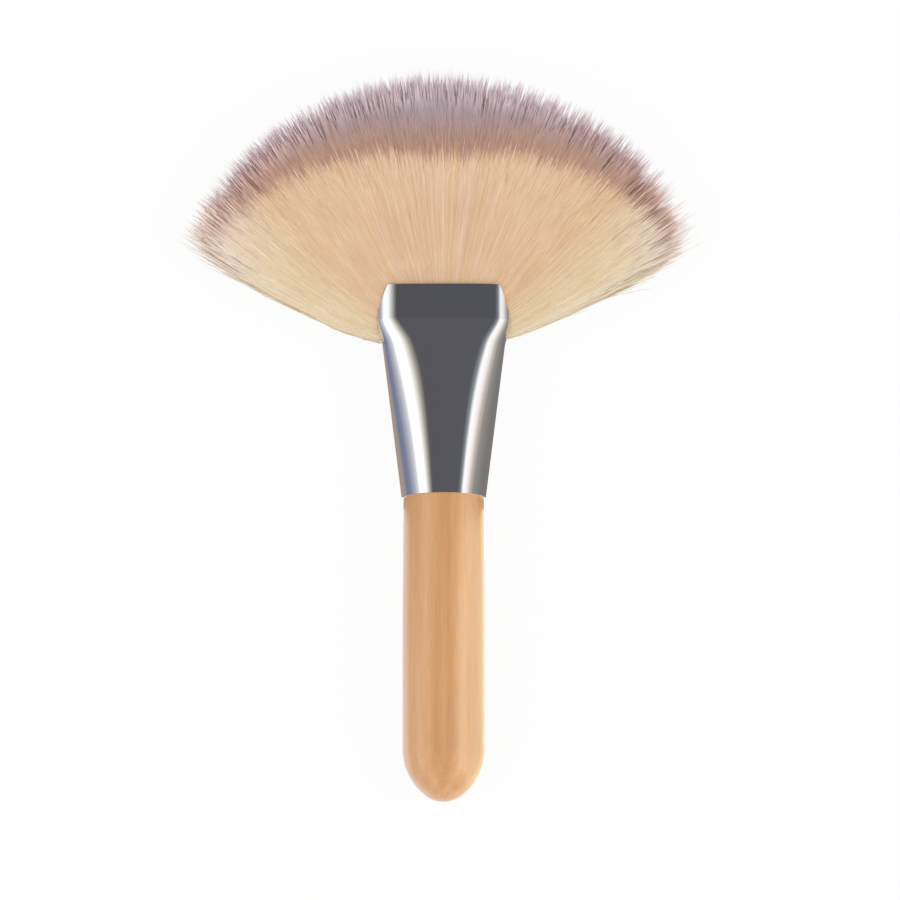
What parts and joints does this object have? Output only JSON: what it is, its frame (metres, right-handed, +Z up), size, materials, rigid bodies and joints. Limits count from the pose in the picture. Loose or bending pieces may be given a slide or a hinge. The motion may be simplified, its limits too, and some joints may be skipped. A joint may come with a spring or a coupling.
{
  "type": "fan makeup brush",
  "caption": "Short powder brush with a turned wooden handle, a pressed metal ferrule and a wide fanned tuft of bristles.",
  "frame": {"origin": "middle of the bounding box in X and Y, on the surface that the brush lies on", "axes": "+Y along the brush from the nose of the handle to the bristle tips, +Z up out of the flat side of the fan"},
  "size_m": [0.1038, 0.1466, 0.0164],
  "materials": {
    "lacquered_wood": "satin",
    "plated_metal": "polished",
    "cast_resin": "gloss",
    "synthetic_bristle": "satin"
  },
  "bodies": {
    "root": {"handle": "lacquered_wood", "ferrule": "plated_metal", "root_resin": "cast_resin", "bristle_tuft": "synthetic_bristle"}
  },
  "joints": []
}
